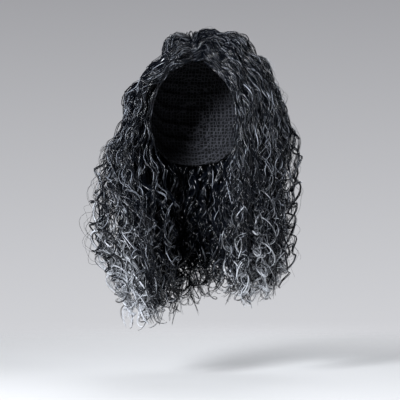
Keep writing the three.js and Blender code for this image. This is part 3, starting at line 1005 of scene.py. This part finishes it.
class WIG_OT_make_cap(bpy.types.Operator):
    """Model the net cap with its sewn rows and hem"""

    bl_idname = "wig.make_cap"
    bl_label = "Make Cap"

    def execute(self, context):
        settings = context.scene.wig_cap
        bpy.ops.object.select_all(action="DESELECT")
        bpy.ops.mesh.primitive_uv_sphere_add(segments=CAP_SEGMENTS, ring_count=CAP_RINGS, radius=1)
        cap = context.object
        cap.name = cap.data.name = "net_cap"
        self.open_below(cap)
        self.fit(cap)
        wall = cap.modifiers.new("Wall", "SOLIDIFY")
        wall.thickness = settings.wall
        wall.offset = 1
        bpy.ops.object.modifier_apply(modifier="Wall")
        self.raise_rows(cap, settings)
        bpy.ops.object.shade_smooth()
        cap.data.materials.append(net_material(settings))
        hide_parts("wig_cap")
        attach(cap, "root")
        return {"FINISHED"}

    def open_below(self, cap):
        """The ball loses its lowest point and the faces round it."""
        bpy.ops.object.mode_set(mode="EDIT")
        bpy.ops.mesh.select_mode(type="VERT")
        bpy.ops.mesh.select_all(action="DESELECT")
        bpy.ops.object.mode_set(mode="OBJECT")
        lowest = min(cap.data.vertices, key=lambda vertex: vertex.co.z)
        lowest.select = True
        bpy.ops.object.mode_set(mode="EDIT")
        bpy.ops.mesh.delete(type="VERT")
        bpy.ops.object.mode_set(mode="OBJECT")

    def fit(self, cap):
        """The open ball takes the form of the cap, with its last ring at the shaped edge."""
        last_ring = math.pi * (CAP_RINGS - 1) / CAP_RINGS
        for vertex in cap.data.vertices:
            bearing = math.degrees(math.atan2(vertex.co.x, -vertex.co.y))
            vertex.co = cap_point(bearing, angle_from_top(vertex.co.z) / last_ring)

    def raise_rows(self, cap, settings):
        """Sewn rows stand in from the wall, one every few rings, and a hem goes round the edge."""
        for face in cap.data.polygons:
            centre = face.center / MM
            arm = (np.array(centre) - CAP_CENTRE) / CAP_INSIDE
            inside = face.normal.dot(Vector(arm)) < 0
            bearing = math.degrees(math.atan2(centre.x / CAP_OUTSIDE[0], -centre.y / CAP_OUTSIDE[1]))
            ring = int(angle_from_top(arm[2] / np.linalg.norm(arm)) / edge_angle(bearing) * CAP_RINGS)
            row = ring % WEFT_EVERY == 0 and ring > 0
            face.select = inside and (row or ring >= CAP_RINGS - HEM_RINGS)
        bpy.ops.object.mode_set(mode="EDIT")
        bpy.ops.mesh.select_mode(type="FACE")
        bpy.ops.mesh.extrude_region_shrink_fatten(TRANSFORM_OT_shrink_fatten={"value": settings.weft_height})
        bpy.ops.object.mode_set(mode="OBJECT")


class WIG_OT_make_hair(bpy.types.Operator):
    """Grow the six sections of wavy locks"""

    bl_idname = "wig.make_hair"
    bl_label = "Make Hair"

    def execute(self, context):
        settings = context.scene.wig_hair
        fibre = hair_material(settings)
        for section in SECTIONS:
            hair = section_hair(section, settings)
            hair.data.materials.append(fibre)
            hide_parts(section["node"])
            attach(hair, "root")
        return {"FINISHED"}


class WIG_OT_make_stage(bpy.types.Operator):
    """Set the camera, the floor and the soft studio light"""

    bl_idname = "wig.make_stage"
    bl_label = "Make Stage"

    def execute(self, context):
        settings = context.scene.wig_stage
        self.lay_floor(context, settings)
        self.set_camera(context, settings)
        for light in LIGHTS:
            self.add_light(context, **light)
        self.light_room(context.scene)
        context.scene.view_settings.view_transform = "Standard"
        return {"FINISHED"}

    def lay_floor(self, context, settings):
        """A round of pale paper below the wig."""
        bpy.ops.object.select_all(action="DESELECT")
        bpy.ops.mesh.primitive_circle_add(vertices=FLOOR_CORNERS, radius=FLOOR_RADIUS, fill_type="NGON")
        floor = context.object
        floor.name = "floor"
        floor.location.z = -settings.floor_drop
        floor.data.materials.append(paper_material(settings))
        floor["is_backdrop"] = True

    def set_camera(self, context, settings):
        """The camera that sees the wig as the photograph does."""
        turn, lift = math.radians(CAMERA_AZIMUTH), math.radians(CAMERA_ELEVATION)
        back = Vector((math.sin(turn) * math.cos(lift), -math.cos(turn) * math.cos(lift), math.sin(lift)))
        bpy.ops.object.camera_add(location=AIM + back * settings.camera_distance)
        camera = context.object
        camera.rotation_euler = (-back).to_track_quat("-Z", "Y").to_euler()
        camera.data.sensor_width = SENSOR
        camera.data.lens = SENSOR * settings.camera_distance / settings.view_width
        context.scene.camera = camera

    def add_light(self, context, name, place, size, power):
        """A square soft light that points at the wig."""
        bpy.ops.object.light_add(type="AREA", location=place)
        light = context.object
        light.name = name
        light.data.size = size
        light.data.energy = power
        light.data.color = linear(LIGHT_COLOUR)
        light.rotation_euler = (AIM - light.location).to_track_quat("-Z", "Y").to_euler()

    def light_room(self, scene):
        """A grey room, paler towards the floor."""
        world = bpy.data.worlds.new("grey_room")
        scene.world = world
        world.use_nodes = True
        tree = world.node_tree
        tree.nodes.clear()
        place = add_node(tree, "ShaderNodeTexCoord").outputs["Generated"]
        height = add_node(tree, "ShaderNodeSeparateXYZ", {"Vector": place}).outputs["Z"]
        up = add_node(
            tree, "ShaderNodeMapRange", {"Value": height, "From Min": -ROOM_FADE, "From Max": ROOM_FADE}
        )
        colour = add_node(
            tree, "ShaderNodeMix",
            {"Factor": up.outputs["Result"], "A": (*linear(ROOM_LOW), 1), "B": (*linear(ROOM_HIGH), 1)},
            data_type="RGBA",
        )
        seen = add_node(tree, "ShaderNodeLightPath").outputs["Is Camera Ray"]
        strength = add_node(tree, "ShaderNodeMapRange", {"Value": seen, "To Min": ROOM_LIGHT, "To Max": 1.0})
        shader = add_node(
            tree, "ShaderNodeBackground",
            {"Color": colour.outputs[2], "Strength": strength.outputs["Result"]},
        )
        output = tree.nodes.new("ShaderNodeOutputWorld")
        tree.links.new(shader.outputs[0], output.inputs["Surface"])


class WIG_PT_panel(bpy.types.Panel):
    """Lists the makers of the wig's pieces"""

    bl_label = "Curly Wig"
    bl_idname = "WIG_PT_panel"
    bl_space_type = "VIEW_3D"
    bl_region_type = "UI"
    bl_category = "Wig"

    def draw(self, context):
        for settings in (context.scene.wig_cap, context.scene.wig_hair, context.scene.wig_stage):
            for name in settings.__annotations__:
                self.layout.prop(settings, name)
        for operator in OPERATORS:
            self.layout.operator(operator.bl_idname)


SETTINGS = {"wig_cap": WigCapSettings, "wig_hair": WigHairSettings, "wig_stage": WigStageSettings}
OPERATORS = (WIG_OT_make_cap, WIG_OT_make_hair, WIG_OT_make_stage)
CLASSES = (*SETTINGS.values(), *OPERATORS, WIG_PT_panel)


def register():
    for made in CLASSES:
        bpy.utils.register_class(made)
    for name, group in SETTINGS.items():
        setattr(bpy.types.Scene, name, PointerProperty(type=group))


def unregister():
    for name in SETTINGS:
        delattr(bpy.types.Scene, name)
    for made in reversed(CLASSES):
        bpy.utils.unregister_class(made)


def main():
    register()
    bpy.ops.wig.make_stage()
    bpy.ops.wig.make_cap()
    bpy.ops.wig.make_hair()
    boxes = {"cad": CAD_BOX, "visual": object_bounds()}
    {name: [list(corner) for corner in box] for name, box in boxes.items()}


if __name__ == "__main__":
    main()
